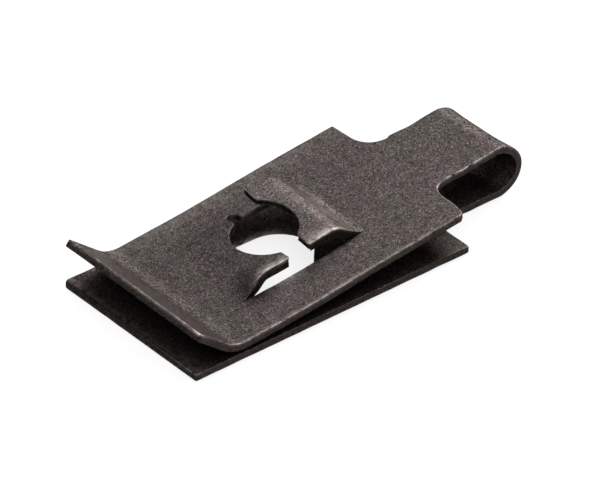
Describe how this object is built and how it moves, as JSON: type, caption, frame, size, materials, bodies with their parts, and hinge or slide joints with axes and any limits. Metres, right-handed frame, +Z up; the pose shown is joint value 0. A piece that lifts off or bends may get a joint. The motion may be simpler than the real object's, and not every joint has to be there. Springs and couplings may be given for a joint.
{
  "type": "speed nut",
  "caption": "U-shaped clip-on speed nut of dark spring steel, with a flared lip, a flat lower leaf with a clearance hole, and two lanced prongs that form one turn of thread.",
  "frame": {"origin": "on the resting face of the lower leaf, under the middle of the bounding box", "axes": "+X from the mouth towards the fold, +Y across the strip to the far side, +Z up from the lower leaf to the prongs"},
  "size_m": [0.0288, 0.0126, 0.0041],
  "materials": {
    "phosphated_spring_steel": "dark phosphate and oil finish on spring steel, fine granular satin"
  },
  "bodies": {
    "root": {"nut_body": "phosphated_spring_steel"}
  },
  "joints": []
}
